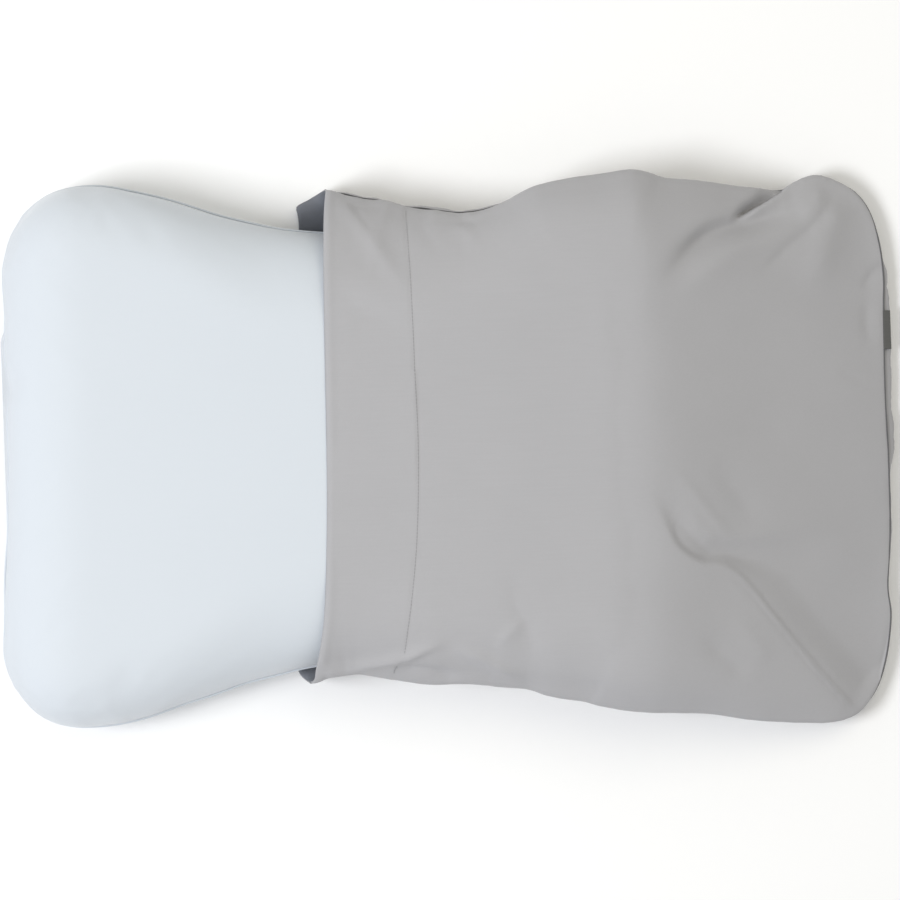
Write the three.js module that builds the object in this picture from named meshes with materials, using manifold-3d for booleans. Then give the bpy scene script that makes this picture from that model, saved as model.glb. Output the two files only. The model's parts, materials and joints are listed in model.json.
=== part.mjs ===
// A camp pillow that lies half inside its cotton pillowcase.
// Millimetres. X runs along the pillow towards the case's closed end, Y across it and Z up.
// The origin is on the table, under the middle of the pillow.

import * as THREE from "three";
import { mergeVertices } from "three/addons/utils/BufferGeometryUtils.js";
import Module from "manifold-3d";

const wasm = await Module();
wasm.setup();

// ---- Driving dimensions ----

// Pillow
const PILLOW_LENGTH = 610;
const LOBE_WIDTH = 458; // across the widest part, near each end
const WAIST_WIDTH = 364; // across the middle
const LOBE_INSET = 67; // from an end to the widest part
const CORNER_DEPTH = 75; // how far each round corner runs down the end
const END_DIP = 3.5; // how far the middle of each end curves in
const PILLOW_THICKNESS = 112;
const PILLOW_SEAM_HEIGHT = 46; // above the table
const END_ROUND = 110; // from an end to the flat of the top
const SIDE_ROUND = 90; // from a side to the flat of the top
const WAIST_SKEW = 1.2; // above 1 keeps the waist long and the lobes short

// Cloth and seams
const COVER_CLOTH = 1;
const LINER_CLOTH = 0.8;
const CASE_CLOTH = 1;
const HEM_CLOTH = 0.8;
const LAYER_GAP = 0.5; // between one layer and the next
const TOUCH_GAP = 0.3; // between pieces that touch
const SEAM_RADIUS = 0.6;
const CASE_SEAM_GAP = 0.8; // from the case's seam to its panels, whose facets don't line up with it
const THREAD_THICKNESS = 0.3;
const THREAD_WIDTH = 1;

// Pillowcase
const CASE_LENGTH = 480; // from the mouth to the end seam, as it lies
const CASE_OVERHANG = 141; // of the end seam past the pillow's end
const HEM_DEPTH = 77;
const MOUTH_SKEW = 9.5; // how far the mouth's back corner leads its middle
const LOWER_MOUTH_LEAD = 22; // of the lower panel past the upper one
const BACK_FLARE = 33; // slack of the mouth behind the waist
const FRONT_FLARE = 10;
const FLARE_LENGTH = 125;
const BACK_CORNER_SHIFT = -15; // of the end's corners from the line of the sides
const FRONT_CORNER_SHIFT = 16;
const CASE_CORNER = 62; // radius of the end's corners
const SLOPE_START = 35; // from the pillow's end back to where the upper panel starts down
const END_SEAM_HEIGHT = 14;
const CASE_END_ROUND = 60; // from the end seam to the flat of the underside
const TAB_LENGTH = 33;
const TAB_DEPTH = 5.5;
const TAB_THICKNESS = 1.2;
const TAB_OFFSET = 84; // from the case's middle line towards the back

// Zip in the pillow's end wall
const ZIP_LENGTH = 190;
const ZIP_DROP = 18; // below the pillow's seam
const ZIP_TILT = THREE.MathUtils.degToRad(30);
const TAPE_WIDTH = 8;
const TAPE_THICKNESS = 0.5;
const CHAIN_GAP = 1.2; // between the two coils
const COIL_WIDTH = 2;
const COIL_THICKNESS = 1.5;
const STOP_LENGTH = 2.5;
const SLIDER_LENGTH = 10;
const SLIDER_WIDTH = 8;
const SLIDER_PLATE = 0.8;
const WEDGE_WIDTH = 0.6;
const BRIDGE_LENGTH = 5.2;
const BRIDGE_WIDTH = 1.6;
const BRIDGE_BAR = 0.6;
const PULL_PIN_RADIUS = 0.4;
const PULL_PIN_CLEARANCE = 0.4;
const PULL_LENGTH = 18;
const PULL_WIDTH = 6.4;
const PULL_THICKNESS = 0.8;
const PULL_FRAME = 0.9; // width of the arms round the bridge

// Facets
const ROUND_STEPS = 5;
const PILLOW_MIDDLE_STEPS = 14;
const FLAT_STEPS = 2;
const CASE_MIDDLE_STEPS = 12;
const CASE_CORNER_STEPS = 4;
const TUBE_SIDES = 5;

// ---- Sizes that follow ----

const HALF_LENGTH = PILLOW_LENGTH / 2;
const LOBE_OFFSET = HALF_LENGTH - LOBE_INSET;
const RIM = SEAM_RADIUS + TOUCH_GAP; // from the pillow's seam line to the edges that it joins
const CASE_RIM = SEAM_RADIUS + CASE_SEAM_GAP;
const HEM_STACK = LAYER_GAP + HEM_CLOTH + TOUCH_GAP + THREAD_THICKNESS + TOUCH_GAP;
const CASE_EASE = CASE_CLOTH + HEM_STACK; // from the pillow to the case's outside
const PILLOW_BASE = CASE_EASE;
const PILLOW_TOP = PILLOW_BASE + PILLOW_THICKNESS;
const CASE_END = HALF_LENGTH + CASE_OVERHANG;
const MOUTH = CASE_END - CASE_LENGTH;
const SLOPE_X = HALF_LENGTH - SLOPE_START;

// ---- Looks ----

const material = (color, roughness, metalness = 0) =>
  new THREE.MeshStandardMaterial({ color, roughness, metalness });
const WHITE_KNIT = material(0xdee4eb, 0.9);
const LINER_CLOTH_WHITE = material(0xe8e8e4, 0.95);
const FOAM = material(0xefe9d2, 0.95);
const GREY_COTTON = material(0xb5b5b7, 0.85);
const GREY_THREAD = material(0x9d9da0, 0.8);
const DARK_WEBBING = material(0x5b5b59, 0.85);
const ZIP_TAPE = material(0xe4e6ea, 0.85);
const ZIP_NYLON = material(0xf0f0ee, 0.45);
const ZIP_METAL = material(0xb9bcc0, 0.3, 0.9);

// ---- Helpers ----

const smooth = (share) => (1 - Math.cos(Math.PI * THREE.MathUtils.clamp(share, 0, 1))) / 2;

// The rounding from a seam up to a flat: how high the skin is, from 0 to 1, at this share of the way in.
const ROUND_POWER = 2.5;
function roundedRise(share) {
  const left = 1 - THREE.MathUtils.clamp(share, 0, 1);
  return (1 - left ** ROUND_POWER) ** (1 / ROUND_POWER);
}

// Shares of the way in that space the rounding's facets evenly, from the seam to the flat.
const ROUND_SHARES = Array.from({ length: ROUND_STEPS + 1 }, (_, step) => {
  const angle = ((1 - step / ROUND_STEPS) * Math.PI) / 2;
  return 1 - Math.sin(angle) ** (2 / ROUND_POWER);
});

// Values from low to high in equal steps, without low itself.
const stepsAfter = (low, high, count) =>
  Array.from({ length: count }, (_, step) => low + ((high - low) * (step + 1)) / count);

// A closed solid between two grids of points, given as rows of Vector3. It has faces on all four edges.
function between(upper, lower) {
  const rows = upper.length;
  const columns = upper[0].length;
  const points = [...upper.flat(), ...lower.flat()];
  const low = rows * columns;
  const faces = [];
  const quad = (a, b, c, d) => faces.push(a, b, c, a, c, d);
  for (let row = 0; row < rows - 1; row++) {
    for (let column = 0; column < columns - 1; column++) {
      const a = row * columns + column;
      quad(a, a + columns, a + columns + 1, a + 1);
      quad(low + a, low + a + 1, low + a + columns + 1, low + a + columns);
    }
    const first = row * columns;
    const last = first + columns - 1;
    quad(first, low + first, low + first + columns, first + columns);
    quad(last, last + columns, low + last + columns, low + last);
  }
  for (let column = 0; column < columns - 1; column++) {
    const end = (rows - 1) * columns + column;
    quad(column, column + 1, low + column + 1, low + column);
    quad(end, low + end, low + end + 1, end + 1);
  }
  const geometry = new THREE.BufferGeometry().setFromPoints(points);
  geometry.setIndex(faces);
  geometry.computeVertexNormals();
  return geometry;
}

// A round tube through the points. A looped one joins its ends, and an open one has flat caps.
function tube(points, radius, looped) {
  const rings = points.map((point, index) => {
    const before = points[looped ? (index - 1 + points.length) % points.length : Math.max(index - 1, 0)];
    const after = points[looped ? (index + 1) % points.length : Math.min(index + 1, points.length - 1)];
    const along = after.clone().sub(before).setZ(0).normalize();
    const side = new THREE.Vector3(along.y, -along.x, 0);
    return Array.from({ length: TUBE_SIDES }, (_, corner) => {
      const angle = (2 * Math.PI * corner) / TUBE_SIDES;
      const out = side.clone().multiplyScalar(radius * Math.cos(angle));
      return point.clone().add(out).setZ(point.z + radius * Math.sin(angle));
    });
  });
  const faces = [];
  const count = points.length;
  for (let ring = 0; ring < (looped ? count : count - 1); ring++) {
    for (let corner = 0; corner < TUBE_SIDES; corner++) {
      const next = (corner + 1) % TUBE_SIDES;
      const a = ring * TUBE_SIDES + corner;
      const b = ring * TUBE_SIDES + next;
      const c = ((ring + 1) % count) * TUBE_SIDES + next;
      const d = ((ring + 1) % count) * TUBE_SIDES + corner;
      faces.push(a, c, b, a, d, c);
    }
  }
  if (!looped) {
    const end = (count - 1) * TUBE_SIDES;
    for (let corner = 1; corner < TUBE_SIDES - 1; corner++) {
      faces.push(0, corner, corner + 1, end, end + corner + 1, end + corner);
    }
  }
  const geometry = new THREE.BufferGeometry().setFromPoints(rings.flat());
  geometry.setIndex(faces);
  geometry.computeVertexNormals();
  return geometry;
}

// A box from its low and high corners.
function block(low, high) {
  const size = high.map((value, axis) => value - low[axis]);
  const middle = high.map((value, axis) => (value + low[axis]) / 2);
  return new THREE.BoxGeometry(...size).translate(...middle);
}

// Closed geometries joined into one solid.
function joined(...geometries) {
  const solids = geometries.map((geometry) => {
    const bare = new THREE.BufferGeometry().setAttribute("position", geometry.getAttribute("position"));
    bare.setIndex(geometry.index);
    const merged = mergeVertices(bare);
    const vertProperties = new Float32Array(merged.attributes.position.array);
    const triVerts = new Uint32Array(merged.index.array);
    return new wasm.Manifold(new wasm.Mesh({ numProp: 3, vertProperties, triVerts }));
  });
  const made = solids.reduce((whole, solid) => whole.add(solid)).getMesh();
  const geometry = new THREE.BufferGeometry();
  geometry.setAttribute("position", new THREE.BufferAttribute(made.vertProperties, made.numProp));
  geometry.setIndex(new THREE.BufferAttribute(made.triVerts, 1));
  geometry.computeVertexNormals();
  return geometry;
}

function piece(name, geometry, look, group) {
  const mesh = new THREE.Mesh(geometry, look);
  mesh.name = name;
  group.add(mesh);
}

// ---- Pillow ----

// Half the pillow's width at x. An inset layer is that much smaller at its sides and ends.
function pillowHalfWidth(x, inset = 0) {
  const reach = (Math.abs(x) * HALF_LENGTH) / (HALF_LENGTH - inset);
  const lobe = LOBE_WIDTH / 2;
  const waist = WAIST_WIDTH / 2;
  if (reach <= LOBE_OFFSET) {
    return waist + (lobe - waist) * smooth((reach / LOBE_OFFSET) ** WAIST_SKEW) - inset;
  }
  const turn = Math.min((reach - LOBE_OFFSET) / LOBE_INSET, 1);
  return lobe - CORNER_DEPTH * (1 - Math.sqrt(1 - turn ** 2)) - inset;
}

// How far across each column of points lies, from the front edge to the back one, with the skin's rise there.
function columnsAcross(front, back) {
  const frontSide = ROUND_SHARES.map((share) => [-front + share * SIDE_ROUND, roundedRise(share)]);
  const backSide = ROUND_SHARES.map((share) => [back - share * SIDE_ROUND, roundedRise(share)]).reverse();
  const flat = stepsAfter(SIDE_ROUND - front, back - SIDE_ROUND, FLAT_STEPS).slice(0, -1);
  return [...frontSide, ...flat.map((y) => [y, 1]), ...backSide];
}

function pillowStations(inset) {
  const half = HALF_LENGTH - inset;
  const left = ROUND_SHARES.map((share) => [-half + share * END_ROUND, roundedRise(share)]);
  const right = left.map(([x, rise]) => [-x, rise]).reverse();
  const middle = stepsAfter(END_ROUND - half, half - END_ROUND, PILLOW_MIDDLE_STEPS).slice(0, -1);
  return [...left, ...middle.map((x) => [x, 1]), ...right];
}

// The dip in the middle of each end, which fades towards the pillow's middle.
const DIP_FADE = 6;
function endDip(x, y) {
  const across = y / (LOBE_WIDTH / 2 - CORNER_DEPTH);
  const middle = Math.max(1 - across ** 2, 0) ** 2;
  return Math.sign(x) * END_DIP * Math.abs(x / HALF_LENGTH) ** DIP_FADE * middle;
}

// The underside is a little deeper than its rounding needs, and cut off flat at the bottom.
const FLAT_SPREAD = 1.08;
const underRise = (rise) => Math.min(1, FLAT_SPREAD * rise);

function pillowSkin(side, inset) {
  return pillowStations(inset).map(([x, endRise]) => {
    const half = pillowHalfWidth(x, inset);
    return columnsAcross(half, half).map(([y, sideRise]) => {
      const rise = endRise * sideRise;
      const height = PILLOW_TOP - inset - PILLOW_SEAM_HEIGHT - RIM;
      const depth = PILLOW_SEAM_HEIGHT - RIM - PILLOW_BASE - inset;
      const z = side === "top" ? RIM + height * rise : -RIM - depth * underRise(rise);
      return new THREE.Vector3(x - endDip(x, y), y, PILLOW_SEAM_HEIGHT + z);
    });
  });
}

function pillowPanel(side, outerInset, thickness) {
  const outer = pillowSkin(side, outerInset);
  const inner = pillowSkin(side, outerInset + thickness);
  return side === "top" ? between(outer, inner) : between(inner, outer);
}

function pillowSeam() {
  const inset = SEAM_RADIUS;
  const stations = pillowStations(inset);
  const edge = (x, y) => new THREE.Vector3(x - endDip(x, y), y, PILLOW_SEAM_HEIGHT);
  const front = stations.map(([x]) => edge(x, -pillowHalfWidth(x, inset)));
  const back = stations.map(([x]) => edge(x, pillowHalfWidth(x, inset))).reverse();
  const end = HALF_LENGTH - inset;
  const half = pillowHalfWidth(end, inset);
  const across = stepsAfter(-half, half, 2 * FLAT_STEPS).slice(0, -1);
  const right = across.map((y) => edge(end, y));
  const left = across.map((y) => edge(-end, y)).reverse();
  return tube([...front, ...right, ...back, ...left], SEAM_RADIUS, true);
}

function makePillow() {
  const pillow = new THREE.Group();
  const linerInset = COVER_CLOTH + LAYER_GAP;
  const coreInset = linerInset + LINER_CLOTH + LAYER_GAP;
  for (const side of ["top", "bottom"]) {
    piece(`cover_${side}`, pillowPanel(side, 0, COVER_CLOTH), WHITE_KNIT, pillow);
    const liner = pillowPanel(side, linerInset, LINER_CLOTH);
    piece(`liner_${side}`, liner, LINER_CLOTH_WHITE, pillow);
  }
  piece("cover_seam", pillowSeam(), WHITE_KNIT, pillow);
  const core = between(pillowSkin("top", coreInset), pillowSkin("bottom", coreInset));
  piece("foam_core", core, FOAM, pillow);
  return pillow;
}

// ---- Pillowcase ----

// Half the case's width at x, to its back or front edge.
function caseHalfWidth(x, side, inset) {
  const back = side === "back";
  const flare = (back ? BACK_FLARE : FRONT_FLARE) * (1 - smooth((x - MOUTH) / FLARE_LENGTH));
  const shift = back ? BACK_CORNER_SHIFT : FRONT_CORNER_SHIFT;
  const cornerStart = CASE_END - CASE_CORNER;
  const sideways = shift * smooth((x - LOBE_OFFSET) / (cornerStart - LOBE_OFFSET));
  const turn = THREE.MathUtils.clamp((x - cornerStart) / (CASE_CORNER - inset), 0, 1);
  const corner = CASE_CORNER * (1 - Math.sqrt(1 - turn ** 2));
  return pillowHalfWidth(Math.min(x, LOBE_OFFSET)) + CASE_EASE + flare + sideways - corner - inset;
}

const caseSeamHeight = (x) => {
  const share = smooth((x - LOBE_OFFSET) / (CASE_END - LOBE_OFFSET));
  return PILLOW_SEAM_HEIGHT + (END_SEAM_HEIGHT - PILLOW_SEAM_HEIGHT) * share;
};

// The upper panel's height along its middle: over the pillow, then straight down to the end seam.
function caseCrown(x, inset) {
  const overPillow = PILLOW_TOP + CASE_EASE - inset;
  const roll = roundedRise((HALF_LENGTH - SLOPE_X) / END_ROUND);
  const slopeTop = PILLOW_SEAM_HEIGHT + (overPillow - PILLOW_SEAM_HEIGHT) * roll;
  const end = END_SEAM_HEIGHT + CASE_RIM;
  const slope = (slopeTop - end) / (CASE_END - inset - SLOPE_X);
  return Math.min(overPillow, end + slope * (CASE_END - inset - x));
}

// How far a layer's points lie from their station, at this share across, from -1 at the front to 1 at the back.
// The mouth is cut askew, the lower panel leads the upper one, and both fade out towards the end seam.
function stationShift(station, across, panel) {
  const lead = panel === "bottom" ? LOWER_MOUTH_LEAD : 0;
  return (MOUTH_SKEW * across - lead) * ((CASE_END - station) / CASE_LENGTH);
}

const HEM_END = MOUTH + HEM_DEPTH;
const stitchStations = () => [HEM_END - 2 * THREAD_WIDTH, HEM_END - THREAD_WIDTH];
const hemStations = () => [MOUTH, MOUTH + HEM_DEPTH / 2, ...stitchStations(), HEM_END];

function caseStations(inset) {
  const cornerStart = CASE_END - CASE_CORNER;
  const middle = stepsAfter(HEM_END, cornerStart, CASE_MIDDLE_STEPS);
  const corner = Array.from({ length: CASE_CORNER_STEPS }, (_, step) => {
    const angle = ((step + 1) * Math.PI) / 2 / CASE_CORNER_STEPS;
    return cornerStart + (CASE_CORNER - inset) * Math.sin(angle);
  });
  return [...hemStations(), ...middle, ...corner];
}

// A layer of the case, from its stations along the middle line.
function caseSkin(panel, inset, stations) {
  return stations.map((station) => {
    const at = (across) => station + stationShift(station, across, panel);
    const front = caseHalfWidth(at(-1), "front", inset);
    const back = caseHalfWidth(at(1), "back", inset);
    return columnsAcross(front, back).map(([y, sideRise]) => {
      const x = at(y / (y < 0 ? front : back));
      const seam = caseSeamHeight(x);
      if (panel === "top") {
        const bottom = seam + CASE_RIM;
        return new THREE.Vector3(x, y, bottom + (caseCrown(x, inset) - bottom) * sideRise);
      }
      const endRise = roundedRise((CASE_END - inset - x) / CASE_END_ROUND);
      const top = seam - CASE_RIM;
      return new THREE.Vector3(x, y, top - (top - inset) * underRise(sideRise * endRise));
    });
  });
}

// A layer that is open where the mouth is. Its end keeps the panel's own inset.
function caseLayer(panel, inset, thickness, stationsOf) {
  const outer = caseSkin(panel, inset, stationsOf(inset));
  const inner = caseSkin(panel, inset + thickness, stationsOf(inset + thickness));
  return panel === "top" ? between(outer, inner) : between(inner, outer);
}

function caseSeam() {
  const inset = SEAM_RADIUS;
  const stations = caseStations(inset);
  const edge = (x, y) => new THREE.Vector3(x, y, caseSeamHeight(x));
  const start = stations[0] + MOUTH_SKEW;
  const along = [start, ...stations.filter((x) => x > start + 2 * SEAM_RADIUS)];
  const back = along.map((x) => edge(x, caseHalfWidth(x, "back", inset)));
  const front = along.map((x) => edge(x, -caseHalfWidth(x, "front", inset))).reverse();
  return tube([...back, ...front], SEAM_RADIUS, false);
}

function makeCase() {
  const pillowcase = new THREE.Group();
  for (const panel of ["top", "bottom"]) {
    piece(`case_${panel}_panel`, caseLayer(panel, 0, CASE_CLOTH, caseStations), GREY_COTTON, pillowcase);
    const hem = caseLayer(panel, CASE_CLOTH + LAYER_GAP, HEM_CLOTH, hemStations);
    piece(`case_hem_${panel}`, hem, GREY_COTTON, pillowcase);
  }
  const above = -(TOUCH_GAP + THREAD_THICKNESS);
  const inside = CASE_CLOTH + LAYER_GAP + HEM_CLOTH + TOUCH_GAP;
  const upperThread = caseLayer("top", above, THREAD_THICKNESS, stitchStations);
  const lowerThread = caseLayer("bottom", inside, THREAD_THICKNESS, stitchStations);
  piece("hem_stitching_top", upperThread, GREY_THREAD, pillowcase);
  piece("hem_stitching_bottom", lowerThread, GREY_THREAD, pillowcase);
  piece("case_seam", caseSeam(), GREY_THREAD, pillowcase);
  const tabStart = CASE_END + TOUCH_GAP;
  const tab = block(
    [tabStart, TAB_OFFSET - TAB_LENGTH / 2, END_SEAM_HEIGHT - TAB_THICKNESS / 2],
    [tabStart + TAB_DEPTH, TAB_OFFSET + TAB_LENGTH / 2, END_SEAM_HEIGHT + TAB_THICKNESS / 2],
  );
  piece("seam_tab", tab, DARK_WEBBING, pillowcase);
  return pillowcase;
}

// ---- Zip ----

// In the zip's own frame x runs along the chain, y up the wall and z out of it.
const CHAIN_HALF = ZIP_LENGTH / 2;
const INNER_PLATE = TOUCH_GAP; // the lowest face of the slider's inner plate
const TAPE_LEVEL = INNER_PLATE + SLIDER_PLATE + TOUCH_GAP;
const COIL_LEVEL = TAPE_LEVEL + TAPE_THICKNESS + TOUCH_GAP;
const OUTER_PLATE = COIL_LEVEL + COIL_THICKNESS + TOUCH_GAP;
const PULL_LEVEL = OUTER_PLATE + SLIDER_PLATE + PULL_PIN_CLEARANCE + PULL_PIN_RADIUS;
const SLIDER_X = CHAIN_HALF - STOP_LENGTH - TOUCH_GAP - SLIDER_LENGTH / 2;

function zipSlider() {
  const half = SLIDER_LENGTH / 2;
  const plate = (level) =>
    block([-half, -SLIDER_WIDTH / 2, level], [half, SLIDER_WIDTH / 2, level + SLIDER_PLATE]);
  const wedgeStart = half - SLIDER_LENGTH / 4;
  const wedge = block([wedgeStart, -WEDGE_WIDTH / 2, INNER_PLATE], [half, WEDGE_WIDTH / 2, OUTER_PLATE + SLIDER_PLATE]);
  const deck = OUTER_PLATE + SLIDER_PLATE;
  const under = PULL_LEVEL + PULL_PIN_RADIUS + PULL_PIN_CLEARANCE;
  const bridgeSide = BRIDGE_WIDTH / 2;
  const post = (direction) => {
    const outer = (direction * BRIDGE_LENGTH) / 2;
    const inner = outer - direction * BRIDGE_BAR;
    const [low, high] = [Math.min(outer, inner), Math.max(outer, inner)];
    return block([low, -bridgeSide, deck - SLIDER_PLATE / 2], [high, bridgeSide, under + BRIDGE_BAR]);
  };
  const bar = block([-BRIDGE_LENGTH / 2, -bridgeSide, under], [BRIDGE_LENGTH / 2, bridgeSide, under + BRIDGE_BAR]);
  return joined(plate(INNER_PLATE), plate(OUTER_PLATE), wedge, post(-1), post(1), bar);
}

// The pull lies along the closed chain. Its frame passes on both sides of the slider's bridge.
function zipPull() {
  const frameInside = BRIDGE_WIDTH / 2 + TOUCH_GAP;
  const frameOutside = frameInside + PULL_FRAME;
  const frameEnd = BRIDGE_LENGTH / 2 + PULL_PIN_CLEARANCE * 2;
  const halfThickness = PULL_THICKNESS / 2;
  const pin = new THREE.CylinderGeometry(PULL_PIN_RADIUS, PULL_PIN_RADIUS, 2 * frameOutside, 12);
  const arm = (side) => {
    const [low, high] = side < 0 ? [-frameOutside, -frameInside] : [frameInside, frameOutside];
    return block([-PULL_PIN_RADIUS, low, -halfThickness], [frameEnd + PULL_FRAME, high, halfThickness]);
  };
  const tab = new THREE.Shape();
  const half = PULL_WIDTH / 2;
  tab.moveTo(frameEnd, -frameOutside);
  tab.lineTo(PULL_LENGTH - half, -half);
  tab.absarc(PULL_LENGTH - half, 0, half, -Math.PI / 2, Math.PI / 2, false);
  tab.lineTo(frameEnd, frameOutside);
  tab.closePath();
  const eye = new THREE.Path();
  eye.absarc(PULL_LENGTH - half, 0, half / 2, 0, 2 * Math.PI, true);
  tab.holes.push(eye);
  const settings = { depth: PULL_THICKNESS, bevelEnabled: false, curveSegments: 10 };
  const plate = new THREE.ExtrudeGeometry(tab, settings).translate(0, 0, -halfThickness);
  return joined(pin, arm(-1), arm(1), plate);
}

// Where the end wall is, at the zip's height and the zip's two ends.
function zipWall() {
  const depth = PILLOW_SEAM_HEIGHT - RIM - PILLOW_BASE;
  const rise = (ZIP_DROP - RIM) / depth / FLAT_SPREAD;
  const left = (1 - rise ** ROUND_POWER) ** (1 / ROUND_POWER);
  const x = -HALF_LENGTH + (1 - left) * END_ROUND;
  return new THREE.Vector3(x - endDip(x, CHAIN_HALF), 0, PILLOW_SEAM_HEIGHT - ZIP_DROP);
}

function makeZip() {
  const zip = new THREE.Group();
  const up = new THREE.Vector3(-Math.sin(ZIP_TILT), 0, Math.cos(ZIP_TILT));
  const out = new THREE.Vector3(-Math.cos(ZIP_TILT), 0, -Math.sin(ZIP_TILT));
  const along = new THREE.Vector3().crossVectors(up, out);
  zip.quaternion.setFromRotationMatrix(new THREE.Matrix4().makeBasis(along, up, out));
  zip.position.copy(zipWall());
  for (const [side, sign] of [["upper", 1], ["lower", -1]]) {
    const strip = (near, far, level, thickness, start = -CHAIN_HALF, end = CHAIN_HALF) => {
      const [low, high] = sign > 0 ? [near, far] : [-far, -near];
      return block([start, low, level], [end, high, level + thickness]);
    };
    const near = CHAIN_GAP / 2;
    const tape = strip(near, near + TAPE_WIDTH, TAPE_LEVEL, TAPE_THICKNESS);
    piece(`zipper_tape_${side}`, tape, ZIP_TAPE, zip);
    const coilEnd = CHAIN_HALF - STOP_LENGTH - TOUCH_GAP;
    const coil = strip(near, near + COIL_WIDTH, COIL_LEVEL, COIL_THICKNESS, -coilEnd, coilEnd);
    piece(`zipper_coil_${side}`, coil, ZIP_NYLON, zip);
    const stopStart = CHAIN_HALF - STOP_LENGTH;
    const stop = strip(near, near + COIL_WIDTH, COIL_LEVEL, COIL_THICKNESS, stopStart);
    piece(`zipper_top_stop_${side}`, stop, ZIP_METAL, zip);
  }
  const stopHalf = CHAIN_GAP / 2 + COIL_WIDTH;
  const bottomStop = block(
    [-CHAIN_HALF, -stopHalf, COIL_LEVEL],
    [-CHAIN_HALF + STOP_LENGTH, stopHalf, COIL_LEVEL + COIL_THICKNESS],
  );
  piece("zipper_bottom_stop", bottomStop, ZIP_METAL, zip);
  const slider = new THREE.Group();
  slider.position.set(SLIDER_X, 0, 0);
  piece("zipper_slider", zipSlider(), ZIP_METAL, slider);
  const pull = new THREE.Group();
  pull.position.set(0, 0, PULL_LEVEL);
  pull.rotation.z = Math.PI;
  piece("zipper_pull", zipPull(), ZIP_METAL, pull);
  slider.add(pull);
  zip.add(slider);
  return zip;
}

const model = new THREE.Group();
model.add(makePillow(), makeCase(), makeZip());

export default model;
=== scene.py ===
import json
import math

import bpy
import numpy as np
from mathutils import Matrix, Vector
from mathutils.bvhtree import BVHTree

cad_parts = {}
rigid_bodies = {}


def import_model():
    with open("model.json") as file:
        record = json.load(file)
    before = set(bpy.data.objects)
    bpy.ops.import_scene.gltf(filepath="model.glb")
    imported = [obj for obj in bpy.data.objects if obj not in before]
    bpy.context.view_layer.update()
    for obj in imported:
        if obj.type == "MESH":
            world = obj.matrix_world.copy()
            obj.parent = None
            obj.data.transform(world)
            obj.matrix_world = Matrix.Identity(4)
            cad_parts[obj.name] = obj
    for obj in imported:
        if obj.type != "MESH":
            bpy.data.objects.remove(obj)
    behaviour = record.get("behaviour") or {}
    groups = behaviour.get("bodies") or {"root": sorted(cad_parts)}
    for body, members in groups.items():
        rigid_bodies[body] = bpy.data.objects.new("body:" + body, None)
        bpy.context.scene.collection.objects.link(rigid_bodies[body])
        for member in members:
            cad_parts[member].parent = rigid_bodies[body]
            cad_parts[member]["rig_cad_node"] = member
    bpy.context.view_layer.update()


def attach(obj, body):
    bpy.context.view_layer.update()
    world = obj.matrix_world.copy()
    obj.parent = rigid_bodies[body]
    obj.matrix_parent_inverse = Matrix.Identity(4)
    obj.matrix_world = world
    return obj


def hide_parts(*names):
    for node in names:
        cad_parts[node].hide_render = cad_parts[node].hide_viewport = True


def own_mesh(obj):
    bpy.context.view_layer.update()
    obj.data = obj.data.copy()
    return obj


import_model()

MM = 0.001
scene = bpy.context.scene

# ---------------------------------------------------------------- shapes, in millimetres

HALF_LENGTH, LOBE, WAIST = 305.0, 229.0, 182.0  # the pillow's half sizes
LOBE_AT = 238.0  # how far from the middle it is widest
CORNER_X, CORNER_Y, END_DIP = 67.0, 75.0, 3.5  # the size of its corners, and how far its ends dip in
PILLOW_BASE, PILLOW_TOP, PILLOW_SEAM = 3.2, 115.2, 46.0  # heights
LEFT_LEAN = 0.033  # the bare end leans this much of its width towards the front
END_ROUND, SIDE_ROUND = 110.0, 90.0  # how far in from the outline the top becomes level
BARE_END_ROUND, BARE_SIDE_ROUND = 82.0, 70.0  # the same at the end outside the case
LINER_DEPTH, FOAM_DEPTH = 1.8, 3.4  # below the cover's surface
PILLOW_SEAM_RADIUS = 0.95
END_SEAM, CASE_TOP, CASE_END = 15.0, 119.2, 447.0
SLOPE_TOP, SLOPE_START = 106.0, 268.0  # the case's empty end slopes down from here
CASE_CLOTH, HEM_CLOTH, HEM_INSET = 0.8, 0.7, 1.0
# From the pillow to the outside of the case's cloth, and to the edge where its panels are sewn:
CASE_GAP, LIP_GAP, HEM_GAP, UNDER_GAP, SEAM_GAP = 1.4, 1.3, 2.6, 1.2, 1.8
LOWER_HEM_SHIFT = 18.0  # the lower hem's stitches lie this much nearer the mouth
STITCH = dict(pitch=3.0, length=2.1, radius=0.38, rise=0.5)
ZIP_STITCH = dict(pitch=2.6, length=1.8, radius=0.2, rise=0.25)

# The case's seam and edges seen from above, each from front to back or from mouth to end.
BACK_SEAM = [
    (-24.5, 218.5), (-12, 216), (0, 212.8), (10, 210.2), (27, 208.2), (42, 203), (66, 199.2), (90, 195.8),
    (112, 199), (129, 205), (148, 214), (180, 220.5), (207, 223), (233, 226), (248, 223), (262, 218),
    (292, 214.8), (325, 209.5), (345, 207.4), (361, 206.4), (367, 209.4), (374, 213.4), (387, 218.2),
    (398, 217.6), (413, 211), (427, 202.5),
]
FRONT_SEAM = [
    (-52, -199.5), (-45, -196.2), (-37, -193.2), (-20, -190), (-3, -192.6), (38, -200.8), (54, -202.4),
    (68, -201.8), (95, -203.8), (106, -206.2), (129, -208.8), (151, -214.4), (179, -220), (192, -225.5),
    (212, -230), (234, -232.6), (259, -233.8), (284, -235.8), (305, -240), (326, -243.8), (366, -247.8),
    (397, -247.5), (415, -239.5),
]
END_SEAM_LINE = [
    (415, -239.5), (430, -222), (439.5, -196), (445, -160), (443.2, -133), (447, -85), (447.7, -27),
    (446.7, 31), (448, 100), (449, 130), (446, 160), (438.5, 186), (427, 202.5),
]
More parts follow.
